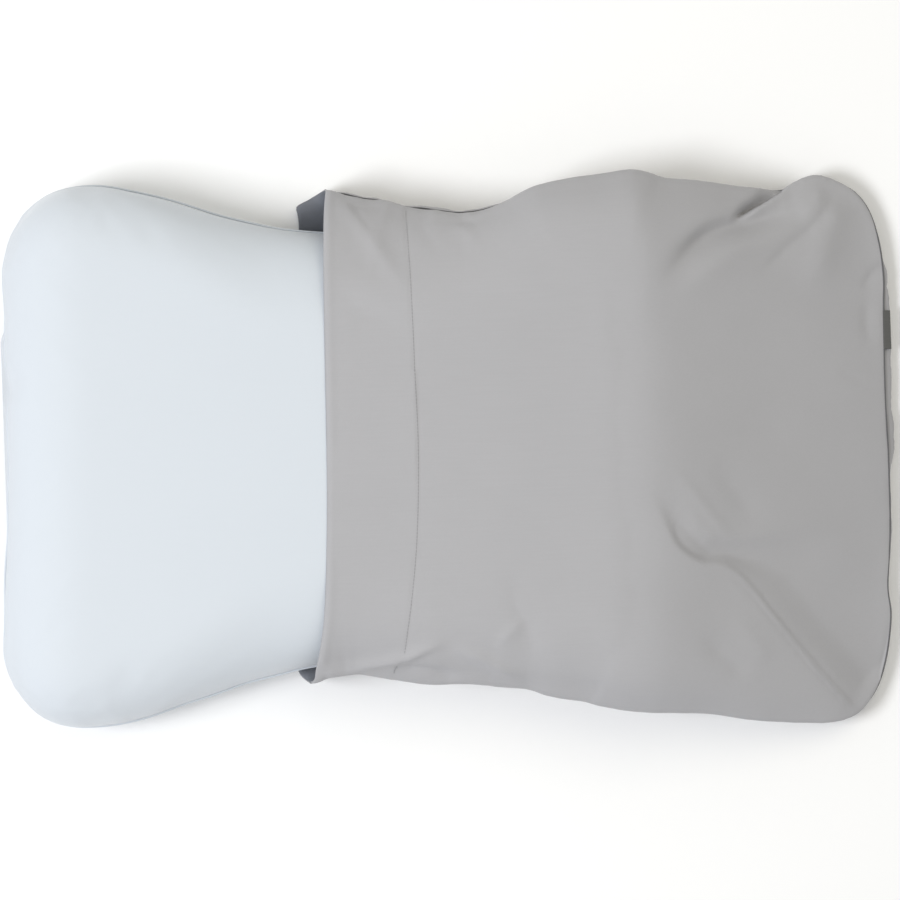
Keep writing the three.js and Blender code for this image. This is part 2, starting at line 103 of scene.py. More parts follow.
UPPER_MOUTH = [
    (-52, -199.5), (-46.5, -187), (-40.5, -162.6), (-35.8, -127), (-31.4, -51), (-29.6, 24), (-28.1, 114),
    (-26.3, 187), (-24.5, 218.5),
]
LOWER_MOUTH = [
    (-52, -199.5), (-58, -195.5), (-63, -189.5), (-64, -180), (-60, -150), (-57, -60), (-55, 60), (-51, 170),
    (-50, 192), (-50.8, 202), (-51.8, 206), (-49, 208.6), (-38, 213.2), (-24.5, 218.5),
]
HEM_LINE = [
    (18, -193), (22, -184), (28, -176), (37, -123), (43, -69), (46, -3), (45.5, 60), (45, 121), (43.5, 170),
    (42, 203),
]

# The zip's own axes: along the chain, up across it and out of the pillow's end.
ZIP_ORIGIN = np.array([-299.789, 0, 28.0])
ZIP_ALONG = np.array([0, -1.0, 0])
ZIP_UP = np.array([-.5, 0, .8660254])
ZIP_OUT = np.array([-.8660254, 0, -.5])

# Folds of the upper panel: the line, its half width on the left and on the right, its height, and the
# shares of its length over which it fades in and out.
FOLDS = [
    ([(317, 181), (333, 192), (347, 200), (358, 204.5), (364, 207)], 3.2, 3.2, -13, .35, .1),
    ([(326, 180), (342, 191), (358, 199), (374, 207)], 3.5, 4, 2.2, .3, .3),
    ([(251, 122), (271, 146), (290, 164), (309, 174), (329, 179), (358, 184), (388, 187)],
     9, 13, -9.2, .4, .4),
    ([(262, 150), (290, 176), (318, 186), (350, 194)], 9, 6, 1.6, .4, .3),
    ([(262, 108), (292, 138), (326, 158), (362, 171), (396, 192)], 10, 14, 2.8, .4, .3),
    ([(330, 125), (362, 155), (383, 171), (399, 188), (411, 201)], 4, 6.5, -1.6, .4, .25),
    ([(378, 112), (390, 142), (400, 170), (407, 198)], 16, 15, 3.4, .45, .2),
    ([(372, 176), (388, 192), (398, 207)], 6, 7, 1.2, .4, .3),
    ([(426, 116), (439, 134), (450, 142)], 4, 5, -1.2, .4, .2),
    ([(434, 117), (431, 92), (434, 66)], 7, 6, -1.2, .4, .4),
    ([(253, -22), (272, -46), (292, -72), (312, -92)], 6, 6, 1.0, .4, .3),
    ([(286, -20), (312, -50), (330, -84)], 13, 12, -1.4, .4, .4),
    ([(274, -168), (294, -184), (318, -208)], 9, 9, -1.4, .4, .3),
    ([(300, -150), (318, -170), (336, -196)], 9, 9, 1.0, .4, .3),
    ([(-16, 211), (3, 188), (23, 156), (48, 118)], 9, 8, 2.2, .15, .5),
    ([(-6, 208), (6, 190), (18, 172)], 3.5, 4, -.9, .2, .5),
    ([(-26, 140), (-3, 120), (21, 94), (44, 76)], 12, 12, -1.0, .3, .4),
    ([(58, 199), (76, 190), (94, 176), (108, 152)], 6, 7, 1.3, .2, .5),
    ([(50, 192), (62, 172), (72, 150)], 7, 8, -.8, .2, .5),
    ([(66, 189), (88, 185), (110, 190), (126, 199)], 3.5, 4, -1.3, .3, .3),
    ([(84, 193), (104, 190), (122, 198)], 3, 3, 1.1, .3, .3),
    ([(-14, 208), (4, 201), (24, 202), (40, 197)], 3, 3.5, -.8, .3, .3),
    ([(-44, -186), (-6, -182), (28, -177), (50, -169), (70, -163)], 4.5, 4, 4.2, .1, .35),
    ([(18, -185), (49, -189), (76, -195)], 4, 4, -3.4, .3, .35),
    ([(66, -168), (90, -178), (112, -190), (134, -201)], 5, 5, 3.4, .4, .4),
    ([(46, -199), (83, -196), (112, -203)], 3.5, 4, 1.8, .3, .4),
    ([(119, -98), (128, -138), (133, -168), (138, -200)], 10, 12, -2.0, .5, .35),
    ([(104, -172), (118, -158), (132, -144)], 5, 6, 1.3, .4, .4),
    ([(128, -205), (158, -213), (200, -225)], 5, 4, 2.2, .3, .3),
    ([(150, -199), (185, -207), (215, -216)], 6, 7, -.8, .4, .4),
    ([(-12, 0), (14, 2), (39, 0)], 2.6, 2.6, -.3, .3, .2),
    ([(-11, -14), (14, -13), (39, -16)], 2.6, 2.6, -.24, .3, .2),
    ([(-12, -28), (17, -25), (40, -29)], 2.6, 2.6, -.3, .3, .2),
    ([(-12, -42), (16, -45), (38, -42)], 2.6, 2.6, -.24, .3, .2),
    ([(403, 49), (413, 46), (430, 41)], 3, 4, -.6, .4, .4),
    ([(232, 217), (240, 168), (238, 115), (226, 78)], 12, 14, .8, .3, .4),
]
# The long crease to the end's front corner: the cloth stands higher in front of it and drops sharply behind.
CREASE = [
    (233, -42), (246, -68), (258, -92), (278, -107), (300, -111), (318, -127), (338, -153), (362, -184),
    (391, -219), (411, -240),
]


def clamp01(value):
    return np.clip(value, 0, 1)


def smooth(value):
    value = clamp01(value)
    return value * value * (3 - 2 * value)


def rounded(share, power=2.5):
    return (1 - (1 - clamp01(share)) ** power) ** (1 / power)


def curve(points, count):
    """A smooth line through the points, as count points an equal distance apart."""
    p = np.array(points, float)
    p = np.vstack([2 * p[0] - p[1], p, 2 * p[-1] - p[-2]])
    t = np.linspace(0, 1, 16, endpoint=False)[:, None]
    made = []
    for a, b, c, d in zip(p, p[1:], p[2:], p[3:]):
        square, cube = 2 * a - 5 * b + 4 * c - d, 3 * b - a - 3 * c + d
        made.append(.5 * (2 * b + (c - a) * t + square * t ** 2 + cube * t ** 3))
    fine = np.vstack([*made, p[-2:-1]])
    length = np.concatenate([[0], np.cumsum(np.linalg.norm(np.diff(fine, axis=0), axis=1))])
    at = np.linspace(0, length[-1], count)
    return np.stack([np.interp(at, length, fine[:, k]) for k in range(fine.shape[1])], 1)


def respaced(line, shares):
    length = np.concatenate([[0], np.cumsum(np.linalg.norm(np.diff(line, axis=0), axis=1))])
    at = shares * length[-1]
    return np.stack([np.interp(at, length, line[:, k]) for k in range(line.shape[1])], 1)


def nearest(line, points):
    """Each point's distance from the line, positive on its left, and how far along that is, from 0 to 1."""
    best = np.full(len(points), 1e18)
    signed, share = np.zeros(len(points)), np.zeros(len(points))
    steps = np.diff(line, axis=0)
    lengths = np.linalg.norm(steps, axis=1)
    before = np.concatenate([[0], np.cumsum(lengths)])
    for start, step, length, done in zip(line, steps, lengths, before):
        rel = points - start
        t = clamp01(rel @ step / length ** 2)
        off = rel - t[:, None] * step
        d2 = (off ** 2).sum(1)
        closer = d2 < best
        best[closer] = d2[closer]
        cross = step[0] * rel[:, 1] - step[1] * rel[:, 0]
        signed[closer] = (np.sign(cross) * np.sqrt(d2))[closer]
        share[closer] = ((done + t * length) / before[-1])[closer]
    return signed, share


def coons(front, back, left, right, u, v):
    """A patch between four edges: front and back run along u, left and right along v."""
    front, back, left, right = respaced(front, u), respaced(back, u), respaced(left, v), respaced(right, v)
    u, v = u[:, None, None], v[None, :, None]
    ruled = (1 - v) * front[:, None] + v * back[:, None] + (1 - u) * left[None] + u * right[None]
    first = (1 - u) * (1 - v) * front[0] + u * (1 - v) * front[-1]
    return ruled - (first + (1 - u) * v * back[0] + u * v * back[-1])


def spaced(count, low, high):
    """Shares from 0 to 1, closer together at each end by the amounts low and high."""
    t = np.linspace(0, 1, count)
    weight = 1 - low * np.exp(-t / .09) - high * np.exp(-(1 - t) / .09)
    total = np.concatenate([[0], np.cumsum((weight[1:] + weight[:-1]) / 2)])
    return total / total[-1]


def lumps(points, size, seed):
    """Smooth random heights, about -1 to 1, with lumps about this size."""
    made = np.zeros(len(points))
    rng = np.random.default_rng(seed)
    for _ in range(7):
        angle, phase = rng.uniform(0, math.pi * 2, 2)
        pitch = size * rng.uniform(1.6, 3.2)
        across = points[:, 0] * math.cos(angle) + points[:, 1] * math.sin(angle)
        made += np.sin(across * 2 * math.pi / pitch + phase)
    return made / 3


def normals_of(grid, up):
    """The way out of a grid at each point, upwards or downwards, taken from its neighbours at the corners."""
    du, dv = np.gradient(grid, axis=0), np.gradient(grid, axis=1)
    n = np.cross(du, dv) * (1 if up else -1)
    n[0, [0, -1]] = n[-1, [0, -1]] = 0
    for _ in range(2):
        wide = np.pad(n, ((1, 1), (1, 1), (0, 0)), "edge")
        n = (2 * wide[1:-1, 1:-1] + wide[2:, 1:-1] + wide[:-2, 1:-1] + wide[1:-1, 2:] + wide[1:-1, :-2]) / 6
    return n / np.maximum(np.linalg.norm(n, axis=2, keepdims=True), 1e-9)


def add_mesh(name, points, faces):
    mesh = bpy.data.meshes.new(name)
    mesh.from_pydata((np.asarray(points) * MM).tolist(), [], faces)
    mesh.polygons.foreach_set("use_smooth", [True] * len(mesh.polygons))
    mesh.update()
    made = bpy.data.objects.new(name, mesh)
    scene.collection.objects.link(made)
    return made


def quads(index):
    a, b, c, d = index[:-1, :-1], index[1:, :-1], index[1:, 1:], index[:-1, 1:]
    return np.stack([a, b, c, d], -1).reshape(-1, 4).tolist()


def cloth_solid(name, grid, thickness, up, inset=0.0):
    """A closed solid of cloth: its outside is the grid moved in by inset, and it is this thick."""
    n = normals_of(grid, up)
    outer, inner = grid - n * inset, grid - n * (inset + thickness)
    rows, columns = grid.shape[:2]
    index = np.arange(rows * columns).reshape(rows, columns)
    under = index + rows * columns
    if not up:
        index, under = index[:, ::-1], under[:, ::-1]
    rim = np.concatenate([index[0, :], index[1:, -1], index[-1, -2::-1], index[-2:0:-1, 0]])
    rim_under = np.concatenate([under[0, :], under[1:, -1], under[-1, -2::-1], under[-2:0:-1, 0]])
    edge = [[int(a), int(b), int(d), int(c)] for a, b, c, d in
            zip(rim, np.roll(rim, -1), rim_under, np.roll(rim_under, -1))]
    faces = quads(index) + [f[::-1] for f in quads(under)] + edge
    return add_mesh(name, np.vstack([outer.reshape(-1, 3), inner.reshape(-1, 3)]), faces)


def tube(line, radius, sides=8, looped=False, caps=True):
    """Points and faces of a round bar along a line. The radius may differ from point to point."""
    line = np.asarray(line, float)
    n = len(line)
    tangent = np.roll(line, -1, 0) - np.roll(line, 1, 0) if looped else np.gradient(line, axis=0)
    tangent /= np.linalg.norm(tangent, axis=1, keepdims=True)
    side = np.cross(tangent, [0, 0, 1.0])
    weak = np.linalg.norm(side, axis=1) < 1e-3
    side[weak] = np.cross(tangent[weak], [0, 1.0, 0])
    side /= np.linalg.norm(side, axis=1, keepdims=True)
    up = np.cross(side, tangent)
    angle = np.linspace(0, 2 * math.pi, sides, endpoint=False)
    turned = np.cos(angle)[None, :, None] * side[:, None] + np.sin(angle)[None, :, None] * up[:, None]
    ring = np.broadcast_to(radius, n)[:, None, None] * turned
    points = (line[:, None] + ring).reshape(-1, 3)
    faces = []
    for i in range(n if looped else n - 1):
        j = (i + 1) % n
        for k in range(sides):
            m = (k + 1) % sides
            faces.append([i * sides + k, i * sides + m, j * sides + m, j * sides + k])
    if not looped and caps:
        faces += [list(range(sides))[::-1], list(range((n - 1) * sides, n * sides))]
    return points, faces


def gathered(pieces):
    points, faces, count = [], [], 0
    for p, f in pieces:
        points.append(p)
        faces += [[i + count for i in face] for face in f]
        count += len(p)
    return np.vstack(points), faces


def stitches(line, out, pitch, length, radius, rise):
    """A row of short bars along a line on cloth, each sinking into it at both ends."""
    total = np.concatenate([[0], np.cumsum(np.linalg.norm(np.diff(line, axis=0), axis=1))])
    made = []
    for start in np.arange(pitch / 2, total[-1] - pitch, pitch):
        at = start + np.linspace(0, length, 6)
        bar = np.stack([np.interp(at, total, line[:, k]) for k in range(3)], 1)
        way = np.stack([np.interp(at, total, out[:, k]) for k in range(3)], 1)
        arch = rise * np.sin(np.linspace(0, math.pi, 6)) ** .6 - radius * .9
        made.append(tube(bar + way * arch[:, None], radius, 6))
    return gathered(made)


def tree_of(grid_objects):
    points, faces, count = [], [], 0
    for obj in grid_objects:
        co = np.array([v.co for v in obj.data.vertices]) / MM
        points.append(co)
        faces += [[i + count for i in p.vertices] for p in obj.data.polygons]
        count += len(co)
    return BVHTree.FromPolygons(np.vstack(points).tolist(), faces)


def pushed_out(grid, tree, gap):
    """The grid with every point at least gap outside the mesh in the tree."""
    flat = grid.reshape(-1, 3).copy()
    gaps = np.broadcast_to(gap, len(flat))
    for i, p in enumerate(flat):
        at, normal, _, _ = tree.find_nearest(Vector(p))
        away = (Vector(p) - at).dot(normal)
        if away < gaps[i]:
            flat[i] += np.array(normal) * (gaps[i] - away)
    return flat.reshape(grid.shape)


def seam_lines():
    """The seam's three parts, cut from one smooth line so that they meet without a corner."""
    whole = curve(FRONT_SEAM + END_SEAM_LINE[1:] + BACK_SEAM[-2::-1], 2400)
    first, second = (int(((whole - p) ** 2).sum(1).argmin()) for p in (END_SEAM_LINE[0], END_SEAM_LINE[-1]))
    even = np.linspace(0, 1, 300)
    parts = whole[:first + 1], whole[first:second + 1], whole[second:][::-1]
    return [respaced(part, even) for part in parts]


FRONT, END, BACK = seam_lines()
MOUTH_UP, MOUTH_LOW, HEM = curve(UPPER_MOUTH, 300), curve(LOWER_MOUTH, 300), curve(HEM_LINE, 300)

# ---------------------------------------------------------------- the pillow

def half_width(x):
    reach = np.abs(x)
    inside = WAIST + (LOBE - WAIST) * (1 - np.cos(math.pi * clamp01((reach / LOBE_AT)) ** 1.2)) / 2
    turn = clamp01((reach - LOBE_AT) / CORNER_X)
    return np.where(reach <= LOBE_AT, inside, LOBE - CORNER_Y * (1 - np.sqrt(1 - turn ** 2)))


def pillow_grid(top, u, v):
    """The pillow's upper or lower half before it swells, drawn in where the case is tight."""
    turn = np.linspace(math.pi / 4, math.pi / 2, 12)
    corner = np.stack([LOBE_AT + CORNER_X * np.cos(turn), LOBE - CORNER_Y + CORNER_Y * np.sin(turn)], 1)
    middle = np.linspace(LOBE_AT, -LOBE_AT, 80)[1:-1]
    back = np.vstack([corner, np.stack([middle, half_width(middle)], 1), corner[::-1] * [-1, 1]])[::-1]
    turn = np.linspace(0, math.pi / 4, 12)
    corner = np.stack([LOBE_AT + CORNER_X * np.cos(turn), LOBE - CORNER_Y + CORNER_Y * np.sin(turn)], 1)
    straight = np.linspace(-LOBE + CORNER_Y, LOBE - CORNER_Y, 40)[1:-1]
    end = np.vstack([corner[::-1] * [1, -1], np.stack([np.full(38, HALF_LENGTH), straight], 1), corner])
    flat = coons(back * [1, -1], back, end * [-1, 1], end, u, v)
    x, y = flat[..., 0], flat[..., 1]
    bare = smooth((-x - 70) / 100)
    end_round = END_ROUND + (BARE_END_ROUND - END_ROUND) * bare
    side_round = SIDE_ROUND + (BARE_SIDE_ROUND - SIDE_ROUND) * bare
    rise = rounded((HALF_LENGTH - np.abs(x)) / end_round) * rounded((half_width(x) - np.abs(y)) / side_round)
    edge = np.zeros(x.shape, bool)
    edge[[0, -1], :] = edge[:, [0, -1]] = True
    rise = np.where(edge, 0, rise)
    hidden = smooth((x - 200) / 60)
    rise = rise * (1 - .05 * hidden - .12 * smooth((x - 225) / 50) * smooth((y - 50) / 90))
    if top:
        z = PILLOW_SEAM + (PILLOW_TOP - PILLOW_SEAM) * rise
    else:
        z = PILLOW_SEAM - (PILLOW_SEAM - PILLOW_BASE) * np.minimum(1, 1.08 * rise)
    across = y / (LOBE - CORNER_Y)
    dip = np.sign(x) * END_DIP * np.abs(x / HALF_LENGTH) ** 6 * np.maximum(1 - across ** 2, 0) ** 2
    notch = 3.2 * np.exp(-((y - 62) / 13) ** 2) * smooth((-x - 285) / 20) * smooth((z - 36) / 8)
    lean = LEFT_LEAN * y * smooth(-x / LOBE_AT) * smooth((z - 32) / 12)
    case_back, case_front = np.interp(x, BACK[:, 0], BACK[:, 1]), -np.interp(x, FRONT[:, 0], FRONT[:, 1])
    limit = np.where(y > 0, case_back, case_front) - 4.5
    squeeze = np.where(x > 20, np.minimum(1, limit / half_width(x)), 1)
    return np.stack([x - dip + notch + lean, y * squeeze, z], -1)


def end_wall(points):
    """Presses the pillow's bare end flat behind the zip, where the tapes are sewn on."""
    rel = points - ZIP_ORIGIN
    weight = smooth((114 - np.abs(rel[:, 1])) / 16) * smooth((15 - np.abs(rel @ ZIP_UP)) / 5)
    weight *= points[:, 0] < -270
    return points - (weight * (rel @ ZIP_OUT))[:, None] * ZIP_OUT


def pillow_mesh():
    """The pillow as one closed mesh: its points, its faces and the points in its seam."""
    columns, rows = ((112, 88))
    u, v = spaced(columns, .72, .72), spaced(rows, .72, .72)
    top, under = pillow_grid(True, u, v), pillow_grid(False, u, v)
    index = np.arange(columns * rows).reshape(columns, rows)
    below = np.full((columns, rows), -1)
    below[[0, -1], :], below[:, [0, -1]] = index[[0, -1], :], index[:, [0, -1]]
    inner = below < 0
    below[inner] = np.arange(inner.sum()) + columns * rows
    points = np.vstack([top.reshape(-1, 3), under[inner]])
    faces = quads(index) + [f[::-1] for f in quads(below)]
    ring = np.concatenate([index[:-1, 0], index[-1, :-1], index[:0:-1, -1], index[0, :0:-1]])
    return points, faces, ring


def swollen(cover, points, ring):
    """The points after a cloth simulation with air inside, the seam pinned and the motion capped."""
    pinned = cover.vertex_groups.new(name="seam")
    pinned.add([int(i) for i in ring], 1.0, "REPLACE")
    cloth = cover.modifiers.new("cloth", "CLOTH")
    settings = cloth.settings
    settings.quality = 5
    settings.mass = .25
    settings.tension_stiffness = settings.compression_stiffness = 12
    settings.shear_stiffness = 6
    settings.bending_stiffness = .4
    settings.use_pressure = True
    settings.uniform_pressure_force = 4
    settings.shrink_min = -.015
    settings.vertex_group_mass = "seam"
    settings.effector_weights.gravity = 0
    cloth.point_cache.frame_end = 20
    for step in range(1, 19):
        scene.frame_set(step)
    seen = cover.evaluated_get(bpy.context.evaluated_depsgraph_get())
    moved = np.array([v.co for v in seen.data.vertices]) / MM - points
    scene.frame_set(1)
    cover.modifiers.remove(cloth)
    cap = 4.5
    moved *= cap / (cap + np.linalg.norm(moved, axis=1, keepdims=True))
    x, y, z = points.T
    moved[:, 2] = np.where(z > PILLOW_SEAM, moved[:, 2] * .45, np.maximum(moved[:, 2] * .2, PILLOW_BASE - z))
    free = .35 + .65 * smooth((-x - 60) / 120) * smooth(y / 80)
    moved[:, :2] *= np.where(z < PILLOW_SEAM, free, 1)[:, None]
    return points + moved


def place_points(cover, points):
    cover.data.vertices.foreach_set("co", (points * MM).ravel())
    cover.data.update()


def puckered(cover, points, ring):
    """The points with small gathers beside the seam and a slight wave in the bare end's outline."""
    line = points[ring]
    length = np.concatenate([[0], np.cumsum(np.linalg.norm(np.diff(line, axis=0), axis=1))])
    away, place = np.full(len(points), 1e9), np.zeros(len(points))
    near = np.nonzero(np.abs(points[:, 2] - PILLOW_SEAM) < 34)[0]
    for start in range(0, len(near), 2000):
        some = near[start:start + 2000]
        d = np.linalg.norm(points[some, None] - line[None], axis=2)
        k = d.argmin(1)
        away[some], place[some] = d[np.arange(len(some)), k], length[k]
    along = np.stack([place[near], place[near] * 0], 1)
    level = np.zeros(len(points))
    level[near] = lumps(along, 9, 3) + .6 * lumps(along, 21, 4)
    place_points(cover, points)
    n = np.array([v.normal for v in cover.data.vertices])
    points = points + n * (level * .55 * np.exp(-away / 9) * (1 - np.exp(-away / 2.5)))[:, None]
    wave = np.stack([.7 * lumps(points, 26, 5), .7 * lumps(points, 24, 6)], 1) * np.exp(-away / 16)[:, None]
    points[:, :2] += wave * (points[:, :1] < 0)
    return points


def make_pillow():
    """The cover, its seam line and the mesh from which the liner and the foam are made."""
    points, faces, ring = pillow_mesh()
    cover = add_mesh("pillow_cover", points, faces)
    points = swollen(cover, points, ring)
    points = end_wall(puckered(cover, points, ring))
    points[:, 2] = np.maximum(points[:, 2], PILLOW_BASE)
    place_points(cover, points)
    finer = cover.modifiers.new("finer", "SUBSURF")
    finer.levels = finer.render_levels = 1
    mesh = bpy.data.meshes.new_from_object(cover.evaluated_get(bpy.context.evaluated_depsgraph_get()))
    cover.modifiers.clear()
    cover.vertex_groups.clear()
    cover.data = mesh
    mesh.name = "pillow_cover"
    place_points(cover, end_wall(np.array([v.co for v in mesh.vertices]) / MM))
    return cover, points[ring], (points, faces)


def shell_inside(name, points, faces, inset):
    """A closed copy of a mesh, moved in by inset along its normals."""
    made = add_mesh(name, points, faces)
    n = np.array([v.normal for v in made.data.vertices])
    moved = points - n * inset
    moved[:, 2] = np.maximum(moved[:, 2], PILLOW_BASE + inset)
    place_points(made, moved)
    return made


pillow_cover, pillow_ring, (pillow_points, pillow_faces) = make_pillow()
pillow_liner = shell_inside("pillow_liner", pillow_points, pillow_faces, LINER_DEPTH)
foam_core = shell_inside("foam_pad", pillow_points, pillow_faces, FOAM_DEPTH)
ring_points, ring_faces = tube(pillow_ring * [.9985, .9985, 1], PILLOW_SEAM_RADIUS, looped=True)
pillow_seam = add_mesh("pillow_cover_seam", ring_points, ring_faces)

# ---------------------------------------------------------------- the case

def seam_height(x):
    return PILLOW_SEAM + (END_SEAM - PILLOW_SEAM) * smooth((x - LOBE_AT) / (CASE_END - LOBE_AT))


def crown(x):
    """The upper panel's height along its middle: over the pillow, then down in one slope to the end seam."""
    slope = END_SEAM + (CASE_END - x) * (SLOPE_TOP - END_SEAM) / (CASE_END - SLOPE_START)
    gap = slope - CASE_TOP
    return CASE_TOP + gap / 2 - np.sqrt(gap ** 2 / 4 + 36)


def side_lines():
    """The back and the front seam, each carried on round its corner of the end."""
    upper = END[END[:, 1] > 120][::-1]
    lower = END[END[:, 1] < -130]
    return np.vstack([BACK, upper[1:]])[::5], np.vstack([FRONT, lower[1:]])[::5]


BACK_SIDE, FRONT_SIDE = side_lines()


def to_seam(flat):
    """Distances to the back seam, to the front seam and to the end seam."""
    return [np.abs(nearest(line, flat)[0]) for line in (BACK_SIDE, FRONT_SIDE, END[::5])]


def outward(flat):
    """The level way out across the nearest seam, the distance to it and the nearest place on it."""
    seam = np.vstack([FRONT[:-1], END[:-1], BACK[::-1]])[::4]
    way = np.zeros_like(flat)
    best = np.full(len(flat), 1e18)
    place = np.zeros((len(flat), 2))
    for a, b in zip(seam, seam[1:]):
        rel, step = flat - a, b - a
        t = clamp01(rel @ step / max(step @ step, 1e-9))
        off = rel - t[:, None] * step
        d2 = (off ** 2).sum(1)
        closer = d2 < best
        best[closer] = d2[closer]
        normal = np.array([step[1], -step[0]]) / max(np.linalg.norm(step), 1e-9)
        way[closer] = normal
        place[closer] = (a + t[:, None] * step)[closer]
    return way, np.sqrt(best), place


def seam_shows(place):
    """How far the seam shows from above, from 0 to 1: most at the end and behind the waist."""
    x = place[:, 0]
    back = np.exp(-((x - 4) / 15) ** 4) + np.exp(-((x - 82) / 32) ** 4) + .35 * smooth((165 - x) / 30)
    return np.maximum(clamp01(back) * (place[:, 1] > 0), smooth((x - 412) / 20))


def crease_heights(flat):
    """The long crease: a low ridge in front of the line, a drop behind it that recovers further back."""
    d, _ = nearest(curve(CREASE, 60), flat)
    first, last = np.array(CREASE[0], float), np.array(CREASE[-1], float)
    share = clamp01((flat - first) @ (last - first) / ((last - first) @ (last - first)))
    far = d / (.3 + .7 * smooth((share - .3) / .25))
    sharp = smooth((share - .36) / .1)
    edge = .5 * np.exp(-((d + 1) / 1.2) ** 2)
    behind = 1.5 - 1.4 * smooth(d / 4) - 5.2 * smooth(far / 34) + 5.1 * smooth((far - 30) / 64) + sharp * edge
    before = 1.5 * np.exp(-(d / 26) ** 2) + sharp * (edge - .7 * np.exp(-((d + 3.4) / 1.2) ** 2))
    fade = smooth(share / .3) * smooth((1 - share) / .06)
    return np.where(d > 0, behind, before) * fade * (np.abs(d) < 100)


def fold_heights(flat):
    """The height that the folds and the long crease add to the upper panel at each point."""
    total = np.zeros(len(flat))
    for points, left, right, height, fade_in, fade_out in FOLDS:
        line = curve(points, 28)
        low, high = line.min(0) - 70, line.max(0) + 70
        near = ((flat > low) & (flat < high)).all(1)
        d, share = nearest(line, flat[near])
        width = np.where(d > 0, left, right)
        fade = smooth(share / fade_in) * smooth((1 - share) / fade_out)
        total[near] += height * fade * np.exp(-np.abs(d / width) ** 1.7)
    return total + crease_heights(flat)


def top_grid():
    """The upper panel's outside and its points seen from above."""
    counts = ((226, 216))
    u, v = spaced(counts[0], .2, .3), spaced(counts[1], .6, .6)
    plan = coons(FRONT, BACK, MOUTH_UP, END, u, v)
    flat = plan.reshape(-1, 2)
    back, front, end = to_seam(flat)
    x, y = flat[:, 0], flat[:, 1]
    slack = smooth((150 - x) / 150) * smooth((y - 60) / 100)
    back_rise = rounded(back / (SIDE_ROUND + 6 * slack), 2.5 - .7 * slack)
    rise = np.where(y > 0, back_rise, rounded(front / SIDE_ROUND))
    base = seam_height(x) + .8
    z = base + (np.maximum(crown(x), base) - base) * rise
    grid = np.concatenate([flat, z[:, None]], 1).reshape(*plan.shape[:2], 3)
    n = normals_of(grid, True)
    rim = np.minimum(np.minimum(back, front), end)
    inward = smooth(rim / 3)
    height = fold_heights(flat) * inward
    height += .55 * lumps(flat, 70, 11) * smooth(rim / 40)
    height += .16 * lumps(flat, 22, 12) * inward
    d, _ = nearest(HEM, flat)
    height += np.where(d > 0, .3, 0) * smooth(np.abs(d) / 2) * (x < 60)
    height -= .28 * np.exp(-(d / 1.2) ** 2) * inward
    lip, _ = nearest(MOUTH_UP[::4], flat)
    height += .5 * np.exp(-((np.abs(lip) - 5) / 3) ** 2) - 1.4 * np.exp(-(lip / 1.6) ** 2)
    way, away, place = outward(flat)
    seen = seam_shows(place)
    height += (.15 + .45 * seen * (x < 200)) * lumps(place, 8, 31) * np.exp(-away / 9) * inward
    grid = grid + n * height.reshape(*plan.shape[:2], 1)
    tuck = -(1.2 + 1.2 * seen) * np.exp(-away / 1.6) + (2.4 - 1.7 * seen) * np.exp(-((away - 4) / 4) ** 2)
    grid[..., :2] += (way * tuck[:, None]).reshape(*plan.shape[:2], 2)
    return grid, flat


def under_grid():
    """The lower panel's outside and its points seen from above."""
    counts = ((150, 150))
    u, v = spaced(counts[0], .2, .6), spaced(counts[1], .6, .6)
    plan = coons(FRONT, BACK, MOUTH_LOW, END, u, v)
    flat = plan.reshape(-1, 2)
    back, front, end = to_seam(flat)
    x, y = flat[:, 0], flat[:, 1]
    way, away, place = outward(flat)
    seen = seam_shows(place)
    back_side = rounded(back / (SIDE_ROUND - 58 * smooth((30 - x) / 60)))
    rise = np.where(y > 0, back_side, rounded(front / SIDE_ROUND)) * rounded(end / 60)
    drop = np.minimum(1, 1.08 * rise) * (1 - .75 * seen * (x < 300) * np.exp(-back / 2))
    lift = 10 * np.exp(-((x + 48) / 26) ** 2 - ((y - 207) / 12) ** 2)
    lift += 9 * np.exp(-((x + 62) / 12) ** 2 - ((y + 190) / 9) ** 2)
    base = seam_height(x) - .8
    z = np.maximum(base * (1 - drop) + lift * drop, 0)
    bulge = 1.0 + seen * np.where(place[:, 0] < 300, 4.6 + 1.1 * lumps(place, 12, 41), 1.4)
    bulge += 5.4 * smooth((place[:, 1] + 40) / 30) * smooth((150 - place[:, 1]) / 20) * (place[:, 0] > 400)
    across = np.sin(math.pi * clamp01(drop))
    bulge = bulge * across ** .6 - (1.2 + 1.2 * seen) * np.exp(-away / 1.6)
    bulge += .7 * lumps(place, 11, 21) * across
    grid = np.stack([x, y, z], 1)
    grid[:, :2] += way * bulge[:, None]
    return grid.reshape(*plan.shape[:2], 3), plan


def seam_at(flat):
    """The sewn edge that both panels share: just inside the outline and outside the pillow."""
    way, _, place = outward(flat)
    seen = seam_shows(place)
    line = np.concatenate([flat - way * (1 + seen)[:, None], seam_height(flat[:, :1])], 1)
    return pushed_out(line[None], pillow_tree, SEAM_GAP)[0], way, seen


def sewn(grid, plan, side):
    """The grid with its seam edges brought to the sewn edge and the cloth beside them following."""
    made = grid.copy()
    for part, flat in ((made[::-1], plan[::-1]), (made.swapaxes(0, 1), plan.swapaxes(0, 1)),
                       (made.swapaxes(0, 1)[::-1], plan.swapaxes(0, 1)[::-1])):
        edge = seam_at(flat[0])[0] + [0, 0, side * .3]
        steps = np.linalg.norm(np.diff(part, axis=0), axis=2)
        along = np.concatenate([np.zeros((1, part.shape[1])), np.cumsum(steps, 0)])
        part += np.exp(-(along / 6) ** 2)[..., None] * (edge - part[0])[None]
    return made


